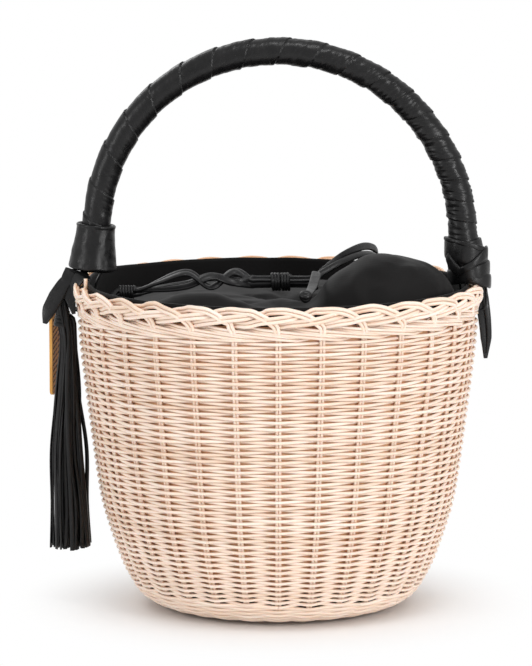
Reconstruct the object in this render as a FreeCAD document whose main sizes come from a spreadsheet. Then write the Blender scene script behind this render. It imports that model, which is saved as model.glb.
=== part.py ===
import FreeCAD, Part
import math
import os
import re
import Sketcher
from FreeCAD import Vector

# Bucket bag: woven reed basket, fabric lining with a drawcord cover, leather-wrapped handle,
# leather tassel and tag.  Millimetres; +Z up; origin on the floor at the centre of the base;
# the bag's own right (the knotted handle foot) is +X, the front is -Y.

SIZES = {
    # woven wall: its outline is two arcs of a circle, the upper one upright where it ends
    "wall_top_radius": 137.5, "wall_top": 211, "heel_radius": 107.5, "heel_height": 34,
    "foot_radius": 80, "foot_width": 6, "wall_thickness": 6.2, "wale_height": 13.5, "row_gap": 0.2,
    # uprights: pairs of rods in the middle of the wall
    "pair_count": 29, "rod_radius": 1.0, "rod_spacing": 2.1, "channel_clearance": 0.15,
    "rod_foot_height": 5, "rod_top": 219,
    # border rolled over the top of the uprights
    "border_inner_radius": 129, "border_outer_radius": 140, "border_bottom": 211.2, "rim_height": 224,
    "border_round": 4,
    # base
    "base_radius": 73.6, "base_bottom": 0, "base_thickness": 6, "stick_count": 16,
    "stick_radius": 1.4, "stick_inner": 14, "stick_length": 52, "stick_clearance": 0.1,
    "stick_end_gap": 1,
    "board_radius": 76, "board_thickness": 2,
    # lining
    "fabric": 1.2, "lining_gap": 0.4, "lining_top": 211, "lining_base_radius": 77,
    "cover_inner_radius": 40, "cover_outer_radius": 129, "cover_waist_radius": 112,
    "cover_height": 207, "cover_half_thickness": 6, "cover_soft_edge": 14,
    "puff_radius": 37, "puff_rise": 42, "puff_reach": 80, "puff_bearing": -30,
    # drawcord
    "lace_radius": 1, "lace_pitch": 2.6, "lace_y": -18, "lace_height": 224,
    "lace_run_left": -20, "lace_run_right": 24, "lace_bend_x": -58, "lace_bend_back": 2,
    "lace_bend_spread": 4, "lace_bend_rise": 2.4, "keeper_overhang": 8.5,
    "slider_length": 13, "slider_width": 8.6, "slider_bore": 4.9, "slider_x": 2,
    "keeper_length": 11, "keeper_width": 8, "keeper_x": -103, "keeper_y": -25, "keeper_height": 219,
    "strip_width": 7, "strip_thickness": 1.4, "strip_x": 26, "strip_y": -32, "strip_height": 233,
    "strip_length": 74, "strip_tilt": 4, "pull_knot_radius": 4.5, "pull_knot_gap": 0.3,
    # handle
    "handle_radius": 126, "handle_centre": 257, "handle_splay": 5.6, "leg_end": 247,
    "core_radius": 5, "padding_radius": 7.6, "wrap_radius": 9.65, "layer_gap": 0.05,
    "pivot_x": 128.7, "pivot_height": 236, "eye_length": 10, "eye_radius": 5.5, "eye_clearance": 0.08,
    "eye_stem_radius": 4.6, "eye_stem_gap": 0.6,
    "cuff_bottom": 232, "cuff_top": 263, "cuff_neck": 248, "cuff_mouth_radius": 15.5,
    "cuff_top_radius": 12.2, "cuff_cavity_radius": 13.8, "cuff_bore_radius": 10.4,
    "cuff_cavity_slope": 3, "cuff_skirt": 5, "cuff_shoulder": 254, "cuff_shoulder_radius": 13,
    "knot_mouth_radius": 14.9, "knot_belly_bottom": 239, "knot_belly_top": 248,
    "knot_belly_radius": 15.6, "knot_top": 260, "knot_top_radius": 12.6,
    # ties that hold the handle to the rim
    "tie_radius": 2, "tie_inner_x": 121, "tie_outer_x": 142.4, "tie_bottom": 207,
    "tie_shoulder": 226, "tie_bar_inner_x": 120.5, "tie_bar_outer_x": 137, "tie_hole_radius": 2.2,
    # tassel and tag: small leather rings linked like a chain
    "ring_radius": 2.9, "ring_wire": 0.9, "ring_gap": 0.1, "hanger_x": 148.3, "hanger_height": 217.5,
    "cap_radius": 6.2, "cap_top": 205.85, "cap_straight": 6, "cap_bevel": 2.4,
    "fringe_top": 193.7, "fringe_bottom": 38, "strip_count": 14, "core_strip_count": 4,
    "core_inset": 4, "tassel_strip_width": 2.2, "tassel_strip_depth": 1.1,
    "fringe_top_radius": 6.6, "fringe_bottom_radius": 14,
    "flap_length": 36, "flap_width": 23, "flap_thickness": 2.4, "flap_lean": 20, "flap_x": 150,
    "flap_point": 12, "flap_tip_width": 9.2,
    "flap_height": 229.6, "flap_y": -2.5,
    "tag_width": 25, "tag_height": 66, "tag_thickness": 2.2, "tag_x": 153.6, "tag_y": 24,
    "tag_turn": 18, "tag_top": 209, "tag_hole": 1.6, "tag_hole_drop": 4, "tag_ring_radius": 4.6,
    "tag_wire": 0.9, "tag_corner": 3, "tag_cord_x": 145.4, "tag_cord_y": 2.8, "tag_cord_height": 222,
    # tail below the knotted handle foot
    "tail_length": 48, "tail_top_width": 14, "tail_tip_width": 5, "tail_thickness": 2,
    "tail_x": 146.8, "tail_top": 222,
}

doc = FreeCAD.newDocument("bucket_bag")
sheet = doc.addObject("Spreadsheet::Sheet", "Sizes")
for row, (name, value) in enumerate(SIZES.items(), 1):
    sheet.set("A%d" % row, name)
    sheet.set("B%d" % row, str(value))
    sheet.setAlias("B%d" % row, name)
doc.recompute()

# corners of a cord loop beyond its straight run: along X, then back and up from the run
LOOP_CORNERS = [(36, 5, 9), (47, 15, 14), (56, 33, 13), (60, 54, 8), (52, 74, 0)]

NODES = []
ALONG_X = Vector(1, 0, 0)


def size(name):
    """A driving dimension, read back from the sheet."""
    return float(sheet.get(name))


def cell(text):
    """Expression text with each plain word turned into its cell in the sheet."""
    return re.sub("[a-z_]+", lambda found: named_cell(found.group()), text)


def named_cell(word):
    return "Sizes." + word if word in SIZES else word


def keep(item, label):
    """Name a finished sub-part and remember it for export."""
    item.Label = label
    NODES.append(item)
    return item


def shape_node(label, shape):
    """A sub-part whose free-form shape comes from Part functions."""
    item = doc.addObject("Part::Feature", label)
    item.Shape = shape
    return keep(item, label)


# ---------------------------------------------------------------- sketch helpers


def new_body(label):
    return keep(doc.addObject("PartDesign::Body", label), label)


def origin_item(body, role):
    return [item for item in body.Origin.OriginFeatures if item.Role == role][0]


def new_sketch(body, role, offset=None):
    """Sketch on one of the body's own planes, moved along its normal by an expression."""
    sketch = body.newObject("Sketcher::SketchObject", body.Name + "_sketch")
    sketch.AttachmentSupport = [(origin_item(body, role), "")]
    sketch.MapMode = "FlatFace"
    if offset:
        sketch.setExpression("AttachmentOffset.Base.z", cell(offset))
    return sketch


def pin(sketch, kind, *place, rule, start=1.0):
    """Add one dimension to a sketch and tie it to the sheet."""
    index = sketch.addConstraint(Sketcher.Constraint(kind, *place, start))
    sketch.setExpression("Constraints[%d]" % index, cell(rule))


def pin_point(sketch, element, end, x_rule, y_rule):
    pin(sketch, "DistanceX", -1, 1, element, end, rule=x_rule)
    pin(sketch, "DistanceY", -1, 1, element, end, rule=y_rule)


def polygon(sketch, corners, start_reach=20):
    """Closed outline through corners given as pairs of size rules."""
    first = sketch.GeometryCount
    count = len(corners)
    turn = 2 * math.pi / count
    spots = [Vector(math.cos(turn * i), math.sin(turn * i), 0) * start_reach for i in range(count)]
    for i in range(count):
        sketch.addGeometry(Part.LineSegment(spots[i], spots[(i + 1) % count]))
    for i, (x_rule, y_rule) in enumerate(corners):
        pin_point(sketch, first + i, 1, x_rule, y_rule)
        pin_point(sketch, first + (i - 1) % count, 2, x_rule, y_rule)


def circle(sketch, x_rule, y_rule, radius_rule):
    index = sketch.addGeometry(Part.Circle(Vector(0, 0, 0), Vector(0, 0, 1), 5))
    pin_point(sketch, index, 3, x_rule, y_rule)
    pin(sketch, "Radius", index, rule=radius_rule)


def pad(body, sketch, length, middle=False):
    feature = body.newObject("PartDesign::Pad", body.Name + "_pad")
    feature.Profile = sketch
    feature.setExpression("Length", cell(length))
    feature.Midplane = middle
    return feature


def pocket_through(body, sketch):
    feature = body.newObject("PartDesign::Pocket", body.Name + "_hole")
    feature.Profile = sketch
    feature.Type = "ThroughAll"
    feature.Midplane = True
    return feature


def revolve(body, sketch):
    feature = body.newObject("PartDesign::Revolution", body.Name + "_turned")
    feature.Profile = sketch
    feature.ReferenceAxis = (sketch, ["V_Axis"])
    feature.Angle = 360
    return feature


def ring_of(body, features, count_rule):
    """Repeat features evenly round the body's upright axis."""
    pattern = body.newObject("PartDesign::PolarPattern", body.Name + "_ring")
    pattern.Originals = features
    pattern.Axis = (origin_item(body, "Z_Axis"), [""])
    pattern.setExpression("Occurrences", cell(count_rule))
    body.Tip = pattern
    return pattern


def place(item, x="0", y="0", z="0", axis=None, turn="0"):
    """Bind an object's Placement to the sheet."""
    for letter, rule in (("x", x), ("y", y), ("z", z)):
        item.setExpression("Placement.Base." + letter, cell(rule))
    if axis:
        item.Placement.Rotation = FreeCAD.Rotation(axis, 1)
        item.setExpression("Placement.Rotation.Angle", cell(turn))


def torus(label, centre, axis, ring_rule, wire_rule):
    """A ring about a horizontal axis: a leather loop."""
    item = keep(doc.addObject("Part::Torus", label), label)
    item.setExpression("Radius1", cell(ring_rule))
    item.setExpression("Radius2", cell(wire_rule))
    quarter = {"X": Vector(0, 1, 0), "Y": Vector(1, 0, 0)}[axis]
    place(item, *centre, axis=quarter, turn="90")
    return item


# ---------------------------------------------------------------- woven wall


def wall_arcs():
    """Centre and radius of the wall's upper arc and of the heel arc tangent to it below."""
    reach = size("wall_top_radius") - size("heel_radius")
    drop = size("wall_top") - size("heel_height")
    wall_radius = (reach ** 2 + drop ** 2) / (2 * reach)
    lean = math.asin(drop / wall_radius)
    across = size("heel_radius") - size("foot_radius")
    up = size("heel_height")
    heel_radius = (across ** 2 + up ** 2) / (2 * (across * math.cos(lean) - up * math.sin(lean)))
    wall_centre = Vector(size("wall_top_radius") - wall_radius, 0, size("wall_top"))
    heel = Vector(size("heel_radius"), 0, size("heel_height"))
    heel_centre = heel - Vector(math.cos(lean), 0, -math.sin(lean)) * heel_radius
    return wall_centre, wall_radius, heel_centre, heel_radius


def wall_point(depth, height):
    """Point of the outline at a height, a given depth in from the outer face of the wall."""
    wall_centre, wall_radius, heel_centre, heel_radius = wall_arcs()
    if height >= size("wall_top"):
        return Vector(size("wall_top_radius") - depth, 0, height)
    centre, radius = wall_centre, wall_radius
    if (centre.z - height) / (radius - depth) > heel_sine():
        centre, radius = heel_centre, heel_radius
    across = math.sqrt((radius - depth) ** 2 - (height - centre.z) ** 2)
    return Vector(centre.x + across, 0, height)


def heel_sine():
    """Sine of the lean at the heel, where the two arcs meet."""
    wall_centre, wall_radius, _, _ = wall_arcs()
    return (wall_centre.z - size("heel_height")) / wall_radius


def outline(depth, bottom, top):
    """Edges of the wall outline at one depth, from a bottom height to a top height."""
    wall_centre, wall_radius, _, _ = wall_arcs()
    joint = wall_centre.z - heel_sine() * (wall_radius - depth)
    stops = [bottom] + [z for z in (joint, size("wall_top")) if bottom < z < top] + [top]
    edges = []
    for low, high in zip(stops, stops[1:]):
        ends = [wall_point(depth, z) for z in (low, (low + high) / 2, high)]
        if low >= size("wall_top"):
            edges.append(Part.makeLine(ends[0], ends[2]))
        else:
            edges.append(Part.Arc(*ends).toShape())
    return edges


def band(outer_depth, inner_depth, bottom, top):
    """Solid of revolution between two depths and two heights of the wall."""
    outer = outline(outer_depth, bottom, top)
    inner = outline(inner_depth, bottom, top)
    ends = [(wall_point(outer_depth, z), wall_point(inner_depth, z)) for z in (bottom, top)]
    edges = outer + inner + [Part.makeLine(a, b) for a, b in ends]
    face = Part.Face(Part.Wire(Part.__sortEdges__(edges)))
    return face.revolve(Vector(0, 0, 0), Vector(0, 0, 1), 360)


def around(shape, count):
    """Copies of a shape evenly round the upright axis, the first one at the front."""
    copies = []
    for i in range(count):
        copy = shape.copy()
        copy.rotate(Vector(0, 0, 0), Vector(0, 0, 1), -90 + 360.0 * i / count)
        copies.append(copy)
    return copies


def upright_pair(radius):
    """Two rods side by side, following the middle of the wall up into the border."""
    depth = size("wall_thickness") / 2
    path = Part.Wire(outline(depth, size("rod_foot_height"), size("rod_top")))
    rods = []
    for side in (-0.5, 0.5):
        start = path.Vertexes[0].Point
        along = path.Edges[0].tangentAt(path.Edges[0].FirstParameter)
        ring = Part.Wire(Part.makeCircle(radius, start, along))
        rod = path.makePipeShell([ring], True, False)
        rods.append(rod.translated(Vector(0, side * size("rod_spacing"), 0)))
    return rods


def make_woven_wall():
    rods = [rod for one in upright_pair(size("rod_radius")) for rod in around(one, int(size("pair_count")))]
    shape_node("side_stakes", Part.makeCompound(rods))

    wide = upright_pair(size("rod_radius") + size("channel_clearance"))
    channel = wide[0].fuse(wide[1])
    channels = Part.makeCompound(around(channel, int(size("pair_count"))))
    thick = size("wall_thickness")
    gap = size("row_gap")
    wale_bottom = size("wall_top") - size("wale_height")
    shape_node("heel_weave", make_heel().cut(channels))
    shape_node("side_weave", band(0, thick, size("heel_height"), wale_bottom - gap).cut(channels))
    wale = band(0, thick, wale_bottom, size("wall_top"))
    shape_node("top_wale", wale.cut(channels).cut(tie_holes()))
    shape_node("rim_border", make_border().cut(channels))


def make_heel():
    """Lowest rows: the band up to the heel, squared off inside to a flat foot ring."""
    thick = size("wall_thickness")
    top = size("heel_height") - size("row_gap")
    shelf = size("base_bottom") + size("base_thickness")
    inner_foot = size("foot_radius") - size("foot_width")
    outer = outline(0, 0, top)
    inner = outline(thick, shelf, top)
    corners = [
        wall_point(thick, shelf),
        Vector(inner_foot, 0, shelf),
        Vector(inner_foot, 0, 0),
        wall_point(0, 0),
    ]
    edges = outer + inner + [Part.makeLine(a, b) for a, b in zip(corners, corners[1:])]
    edges.append(Part.makeLine(wall_point(0, top), wall_point(thick, top)))
    face = Part.Face(Part.Wire(Part.__sortEdges__(edges)))
    return face.revolve(Vector(0, 0, 0), Vector(0, 0, 1), 360)


def make_border():
    """Rolled border as one rounded ring on top of the wall."""
    inner = size("border_inner_radius")
    outer = size("border_outer_radius")
    height = size("rim_height") - size("border_bottom")
    ring = Part.makeCylinder(outer, height).cut(Part.makeCylinder(inner, height))
    rims = [e for e in ring.Edges if e.Closed and e.BoundBox.ZMin > height - 0.01]
    ring = ring.makeFillet(size("border_round"), rims)
    return ring.translated(Vector(0, 0, size("border_bottom")))


def tie_holes():
    """Round holes through the wall where the two handle ties pass under the border."""
    reach = size("border_outer_radius")
    start = Vector(-reach, 0, size("tie_bottom"))
    return Part.makeCylinder(size("tie_hole_radius"), 2 * reach, start, ALONG_X)


# ---------------------------------------------------------------- base and lining


def make_base():
    body = new_body("base_weave")
    disc = new_sketch(body, "XY_Plane", "base_bottom")
    circle(disc, "0", "0", "base_radius")
    pad(body, disc, "base_thickness")
    bore = new_sketch(body, "YZ_Plane", "stick_inner - stick_end_gap")
    circle(bore, "0", "base_bottom + base_thickness / 2", "stick_radius + stick_clearance")
    hole = body.newObject("PartDesign::Pocket", "base_stick_bore")
    hole.Profile = bore
    hole.Reversed = True
    hole.setExpression("Length", cell("stick_length + 2 * stick_end_gap"))
    ring_of(body, [hole], "stick_count")

    sticks = new_body("base_sticks")
    end = new_sketch(sticks, "YZ_Plane", "stick_inner")
    circle(end, "0", "base_bottom + base_thickness / 2", "stick_radius")
    ring_of(sticks, [pad(sticks, end, "stick_length")], "stick_count")

    board = new_body("base_board")
    disc = new_sketch(board, "XY_Plane", "base_bottom + base_thickness + row_gap")
    circle(disc, "0", "0", "board_radius")
    pad(board, disc, "board_thickness")


def make_lining():
    base = new_body("lining_base")
    disc = new_sketch(base, "XY_Plane", "base_bottom + base_thickness + board_thickness + 2 * row_gap")
    circle(disc, "0", "0", "lining_base_radius")
    pad(base, disc, "fabric")

    outer = size("wall_thickness") + size("lining_gap")
    floor = size("base_bottom") + size("base_thickness") + size("board_thickness") + 4 * size("row_gap")
    sleeve = band(outer, outer + size("fabric"), floor + size("fabric"), size("lining_top"))
    shape_node("lining_wall", sleeve.cut(tie_holes()))
    shape_node("lining_cover", make_cover())


def make_cover():
    """Gathered cover: a soft flat ring round the mouth, with a puff at the front right."""
    inner = size("cover_inner_radius")
    outer = size("cover_outer_radius")
    height = size("cover_height")
    half = size("cover_half_thickness")
    soft = size("cover_soft_edge")
    section = [
        Vector(outer, 0, height),
        Vector(outer - soft, 0, height + half),
        Vector(inner + soft, 0, height + half),
        Vector(inner, 0, height),
        Vector(inner + soft, 0, height - half),
        Vector(outer - soft, 0, height - half),
        Vector(outer, 0, height),
    ]
    ring = Part.Face(Part.makePolygon(section)).revolve(Vector(0, 0, 0), Vector(0, 0, 1), 360)

    bearing = math.radians(size("puff_bearing"))
    radius = size("puff_radius")
    centre = Vector(math.cos(bearing), math.sin(bearing), 0) * size("puff_reach")
    centre.z = height + size("puff_rise") - radius
    puff = Part.makeSphere(radius, centre)

    waist = size("cover_waist_radius")
    above = Vector(-waist, -outer, height)
    below = above - Vector(0, 0, half)
    room_above = Part.makeBox(2 * waist, 2 * outer, 2 * radius, above)
    room = Part.makeBox(2 * waist, 2 * outer, 2 * radius, below)
    return ring.common(room).fuse(puff.common(room_above))


# ---------------------------------------------------------------- drawcord


def rod(points, radius):
    """Round rod through the points, with ball corners; closed if it ends where it starts."""
    shape = Part.makeSphere(radius, points[0])
    for a, b in zip(points, points[1:]):
        shape = shape.fuse(Part.makeCylinder(radius, (b - a).Length, a, b - a))
        if b != points[0]:
            shape = shape.fuse(Part.makeSphere(radius, b, b - a))
    return shape


def cord_corners(across, up):
    """Corners of one cord, from its end at the left of the keeper to the end of its straight run."""
    keeper = Vector(size("keeper_x"), size("keeper_y") + across, size("keeper_height") + up)
    overhang = Vector(size("keeper_overhang"), 0, 0)
    run_y = size("lace_y")
    run_z = size("lace_height")
    bend_y = run_y + size("lace_bend_back") + size("lace_bend_spread") * across
    bend_z = run_z - size("lace_bend_back") + size("lace_bend_rise") * up
    return [
        keeper - overhang,
        keeper + overhang,
        Vector(size("lace_bend_x"), bend_y, bend_z),
        Vector(size("lace_run_left"), run_y + across, run_z + up),
        Vector(size("lace_run_right"), run_y + across, run_z + up),
    ]


def make_laces():
    """Four cords through the keeper and the slider; two of them run on as loops to the right."""
    half = size("lace_pitch") / 2
    radius = size("lace_radius")
    tails = []
    loops = []
    for across in (-half, half):
        tails.append(rod(cord_corners(across, -half), radius))
        corners = cord_corners(across, half)
        for x, back, up in LOOP_CORNERS:
            y = size("lace_y") + back + 2 * across
            corners.append(Vector(x - 2 * across, y, size("lace_height") + up + half))
        loops.append(rod(corners, radius))
    shape_node("drawcord_tails", Part.makeCompound(tails))
    shape_node("drawcord_loops", Part.makeCompound(loops))


def make_cord_coil(label, length, width, centre):
    """Square-bored leather coil round the four cords, its axis along X."""
    body = new_body(label)
    sketch = new_sketch(body, "YZ_Plane", "0")
    circle(sketch, "0", "0", width + " / 2")
    half = "slider_bore / 2"
    minus = "0 - slider_bore / 2"
    polygon(sketch, [(minus, minus), (half, minus), (half, half), (minus, half)], start_reach=3)
    pad(body, sketch, length, middle=True)
    place(body, *centre)


def make_pull():
    """Flat leather strip folded over the cords, with a knot at its free end."""
    strip = new_body("pull_strip")
    sketch = new_sketch(strip, "XY_Plane")
    half = "strip_width / 2"
    minus = "0 - strip_width / 2"
    polygon(sketch, [(minus, "0"), (half, "0"), (half, "0 - strip_length"), (minus, "0 - strip_length")])
    pad(strip, sketch, "strip_thickness", middle=True)
    place(strip, "strip_x", "strip_y", "strip_height", ALONG_X, "strip_tilt")

    knot = keep(doc.addObject("Part::Sphere", "pull_knot"), "pull_knot")
    knot.setExpression("Radius", cell("pull_knot_radius"))
    reach = "(strip_length + pull_knot_radius + pull_knot_gap)"
    place(
        knot,
        "strip_x",
        "strip_y - %s * cos(strip_tilt * 1 deg)" % reach,
        "strip_height - %s * sin(strip_tilt * 1 deg)" % reach,
    )


# ---------------------------------------------------------------- handle


def handle_path(body):
    """Half circle with two straight legs splayed outwards below it."""
    sketch = new_sketch(body, "XZ_Plane")
    radius = size("handle_radius")
    centre = Vector(0, size("handle_centre"), 0)
    lean = math.radians(size("handle_splay"))
    right = centre + Vector(math.cos(lean), math.sin(lean), 0) * radius
    left = Vector(-right.x, right.y, 0)
    fall = right.y - size("leg_end")
    foot = Vector(right.x + fall * math.tan(lean), size("leg_end"), 0)
    ring = Part.Circle(centre, Vector(0, 0, 1), radius)
    sketch.addGeometry(Part.LineSegment(foot, right))
    sketch.addGeometry(Part.ArcOfCircle(ring, lean, math.pi - lean))
    sketch.addGeometry(Part.LineSegment(left, Vector(-foot.x, foot.y, 0)))
    sketch.addConstraint(Sketcher.Constraint("Tangent", 0, 2, 1, 1))
    sketch.addConstraint(Sketcher.Constraint("Tangent", 1, 2, 2, 1))
    pin(sketch, "DistanceX", -1, 1, 1, 3, rule="0", start=0)
    pin(sketch, "DistanceY", -1, 1, 1, 3, rule="handle_centre", start=centre.y)
    pin(sketch, "Radius", 1, rule="handle_radius", start=radius)
    shoulder = "handle_centre + handle_radius * sin(handle_splay * 1 deg)"
    pin(sketch, "DistanceY", -1, 1, 1, 1, rule=shoulder, start=right.y)
    pin(sketch, "DistanceY", -1, 1, 1, 2, rule=shoulder, start=left.y)
    pin(sketch, "DistanceY", -1, 1, 0, 1, rule="leg_end", start=foot.y)
    pin(sketch, "DistanceY", -1, 1, 2, 2, rule="leg_end", start=foot.y)
    return sketch


def make_handle_layer(label, outer, inner):
    """One tube of the handle, swept round the same path as the others."""
    body = new_body(label)
    path = handle_path(body)
    across = new_sketch(body, "YZ_Plane")
    top = "handle_centre + handle_radius"
    circle(across, "0", top, outer)
    if inner:
        circle(across, "0", top, inner)
    pipe = body.newObject("PartDesign::AdditivePipe", label + "_pipe")
    pipe.Profile = across
    pipe.Spine = (path, ["Edge1", "Edge2", "Edge3"])
    return pipe


def make_cuff(label, side, corners):
    """Hollow leather sleeve round one handle foot, leaning with the handle's leg."""
    body = new_body(label)
    sketch = new_sketch(body, "XZ_Plane")
    cavity = [
        ("cuff_bore_radius", corners[-1][1]),
        ("cuff_bore_radius", "cuff_neck"),
        ("cuff_cavity_radius", "cuff_neck - cuff_cavity_slope"),
        ("cuff_cavity_radius", "cuff_bottom"),
    ]
    polygon(sketch, [(x, z + " - pivot_height") for x, z in corners + cavity])
    revolve(body, sketch)
    lean_axis = Vector(0, -1, 0) if side > 0 else Vector(0, 1, 0)
    place(body, "%d * pivot_x" % side, "0", "pivot_height", lean_axis, "handle_splay")


def make_handle():
    make_handle_layer("handle_core", "core_radius", None)
    make_handle_layer("handle_padding", "padding_radius", "core_radius + layer_gap")
    make_handle_layer("handle_wrap", "wrap_radius", "padding_radius + layer_gap")
    make_cuff("left_cuff", -1, [
        ("cuff_mouth_radius", "cuff_bottom"),
        ("cuff_mouth_radius", "cuff_bottom + cuff_skirt"),
        ("cuff_shoulder_radius", "cuff_shoulder"),
        ("cuff_top_radius", "cuff_top"),
    ])
    make_cuff("right_knot", 1, [
        ("knot_mouth_radius", "cuff_bottom"),
        ("knot_belly_radius", "knot_belly_bottom"),
        ("knot_belly_radius", "knot_belly_top"),
        ("knot_top_radius", "knot_top"),
    ])
    for label, side in (("left_handle_eye", "0 - "), ("right_handle_eye", "")):
        make_eye(label, side)


def make_eye(label, side):
    """Leather eye at a handle foot: a short barrel bored for the tie, with a stem above."""
    body = new_body(label)
    barrel = new_sketch(body, "YZ_Plane")
    circle(barrel, "0", "0", "eye_radius")
    pad(body, barrel, "eye_length", middle=True)
    stem = new_sketch(body, "XY_Plane")
    circle(stem, "0", "0", "eye_stem_radius")
    pad(body, stem, "leg_end - pivot_height - eye_stem_gap")
    bore = new_sketch(body, "YZ_Plane")
    circle(bore, "0", "0", "tie_radius + eye_clearance")
    pocket_through(body, bore)
    place(body, x=side + "pivot_x", z="pivot_height")


def make_ties():
    """The strap of each handle foot: over the rim, through the wall and up inside."""
    corners = [
        ("tie_bar_inner_x", "pivot_height"),
        ("tie_bar_outer_x", "pivot_height"),
        ("tie_outer_x", "tie_shoulder"),
        ("tie_outer_x", "tie_bottom"),
        ("tie_inner_x", "tie_bottom"),
        ("tie_inner_x", "tie_shoulder"),
    ]
    for label, side in (("left_rim_tie", -1), ("right_rim_tie", 1)):
        points = [Vector(side * size(x), 0, size(z)) for x, z in corners]
        shape_node(label, rod(points + points[:1], size("tie_radius")))


# ---------------------------------------------------------------- tassel, tag, flap and tail


def make_tassel():
    """Chain of three small rings under the left tie, a bound head and two rounds of strips."""
    step = "2 * ring_radius - 2 * ring_wire - ring_gap"
    wire = "ring_wire"
    torus("tassel_ring", ("0 - hanger_x", "0", "hanger_height"), "Y", "ring_radius", wire)
    torus("tassel_loop", ("0 - hanger_x", "0", "hanger_height - (%s)" % step), "X", "ring_radius", wire)
    torus("tassel_eye", ("0 - hanger_x", "0", "hanger_height - 2 * (%s)" % step), "Y", "ring_radius", wire)

    cap = new_body("tassel_head")
    sketch = new_sketch(cap, "XZ_Plane")
    polygon(sketch, [
        ("0", "fringe_top + row_gap"),
        ("cap_radius", "fringe_top + row_gap"),
        ("cap_radius", "fringe_top + cap_straight"),
        ("cap_radius - cap_bevel", "cap_top"),
        ("0", "cap_top"),
    ])
    revolve(cap, sketch)
    place(cap, x="0 - hanger_x")

    fringe = new_body("tassel_fringe")
    outer = tassel_strip(fringe, "0")
    ring_of(fringe, [outer], "strip_count")
    place(fringe, x="0 - hanger_x")

    core = new_body("tassel_core")
    inner = tassel_strip(core, "core_inset")
    ring_of(core, [inner], "core_strip_count")
    place(core, x="0 - hanger_x")


def tassel_strip(body, inset):
    """One flat strip, leaning outwards from the head to its cut end."""
    sections = []
    for height, radius in (("fringe_top", "fringe_top_radius"), ("fringe_bottom", "fringe_bottom_radius")):
        sketch = new_sketch(body, "XY_Plane", height)
        near = "%s - %s - tassel_strip_depth" % (radius, inset)
        far = "%s - %s" % (radius, inset)
        half = "tassel_strip_width / 2"
        minus = "0 - tassel_strip_width / 2"
        polygon(sketch, [(near, minus), (far, minus), (far, half), (near, half)])
        sections.append(sketch)
    loft = body.newObject("PartDesign::AdditiveLoft", body.Name + "_strip")
    loft.Profile = sections[0]
    loft.Sections = sections[1:]
    loft.Ruled = True
    return loft


def make_flap_and_tag():
    """Broad leather tail over the tassel, and the tag that hangs beside it."""
    flap = new_body("left_flap")
    sketch = new_sketch(flap, "XY_Plane")
    half = "flap_width / 2"
    minus = "0 - flap_width / 2"
    polygon(sketch, [
        ("0", minus),
        ("flap_length - flap_point", minus),
        ("flap_length", "0 - flap_tip_width / 2"),
        ("flap_length", "flap_tip_width / 2"),
        ("flap_length - flap_point", half),
        ("0", half),
    ])
    pad(flap, sketch, "flap_thickness", middle=True)
    flap.Placement.Rotation = FreeCAD.Rotation(Vector(0, 0, 1), 180).multiply(
        FreeCAD.Rotation(Vector(0, 1, 0), 90 - size("flap_lean")))
    for letter, rule in (("x", "0 - flap_x"), ("y", "flap_y"), ("z", "flap_height")):
        flap.setExpression("Placement.Base." + letter, cell(rule))

    tag = new_body("tag_plate")
    sketch = new_sketch(tag, "YZ_Plane")
    half = "tag_width / 2"
    minus = "0 - tag_width / 2"
    polygon(sketch, [
        (minus, "tag_top - tag_height"),
        (half, "tag_top - tag_height"),
        (half, "tag_top - tag_corner"),
        ("tag_width / 2 - tag_corner", "tag_top"),
        ("tag_corner - tag_width / 2", "tag_top"),
        (minus, "tag_top - tag_corner"),
    ])
    pad(tag, sketch, "tag_thickness", middle=True)
    hole = new_sketch(tag, "YZ_Plane")
    circle(hole, "0", "tag_top - tag_hole_drop", "tag_hole")
    pocket_through(tag, hole)
    place(tag, "0 - tag_x", "tag_y", "0", Vector(0, 0, -1), "tag_turn")

    shape_node("tag_cord", make_tag_cord())


def make_tag_cord():
    """Ring through the hole of the tag, on a short cord from the rim tie."""
    wire = size("tag_wire")
    reach = size("tag_ring_radius")
    turn = math.radians(size("tag_turn"))
    middle = Vector(-size("tag_x"), size("tag_y"), size("tag_top") - size("tag_hole_drop") + reach)
    ring = Part.makeTorus(reach, wire, middle, Vector(math.sin(turn), math.cos(turn), 0))
    start = Vector(-size("tag_cord_x"), size("tag_cord_y"), size("tag_cord_height"))
    along = middle + Vector(0, 0, reach) - start
    cord = Part.makeCylinder(wire, along.Length, start, along).fuse(Part.makeSphere(wire, start))
    return ring.fuse(cord)


def make_tail():
    """Pointed leather tail hanging outside the right end of the rim."""
    tail = new_body("right_tail")
    sketch = new_sketch(tail, "YZ_Plane", "tail_x")
    polygon(sketch, [
        ("0 - tail_top_width / 2", "tail_top"),
        ("0 - tail_tip_width / 2", "tail_top - tail_length"),
        ("tail_tip_width / 2", "tail_top - tail_length"),
        ("tail_top_width / 2", "tail_top"),
    ])
    pad(tail, sketch, "tail_thickness", middle=True)


def export_nodes():
    """Check every sub-part, then write one STEP file for each."""
    os.makedirs("parts", exist_ok=True)
    for item in doc.Objects:
        if "Invalid" in item.State or "Error" in item.State:
            raise RuntimeError("%s failed: %s" % (item.Label, item.State))
    for item in NODES:
        shape = item.Shape
        if shape.isNull() or not shape.isValid() or not shape.Solids:
            raise RuntimeError("%s has no sound solid" % item.Label)
        shape.exportStep("parts/%s.step" % item.Label)
        print("%-18s solids %3d  volume %10.1f" % (item.Label, len(shape.Solids), shape.Volume))


make_woven_wall()
make_base()
make_lining()
make_laces()
make_cord_coil("lace_slider", "slider_length", "slider_width", ("slider_x", "lace_y", "lace_height"))
make_cord_coil("lace_keeper", "keeper_length", "keeper_width", ("keeper_x", "keeper_y", "keeper_height"))
make_pull()
make_handle()
make_ties()
make_tassel()
make_flap_and_tag()
make_tail()
doc.recompute()
export_nodes()
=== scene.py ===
import math

import bpy
import numpy as np
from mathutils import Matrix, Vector, noise


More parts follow.
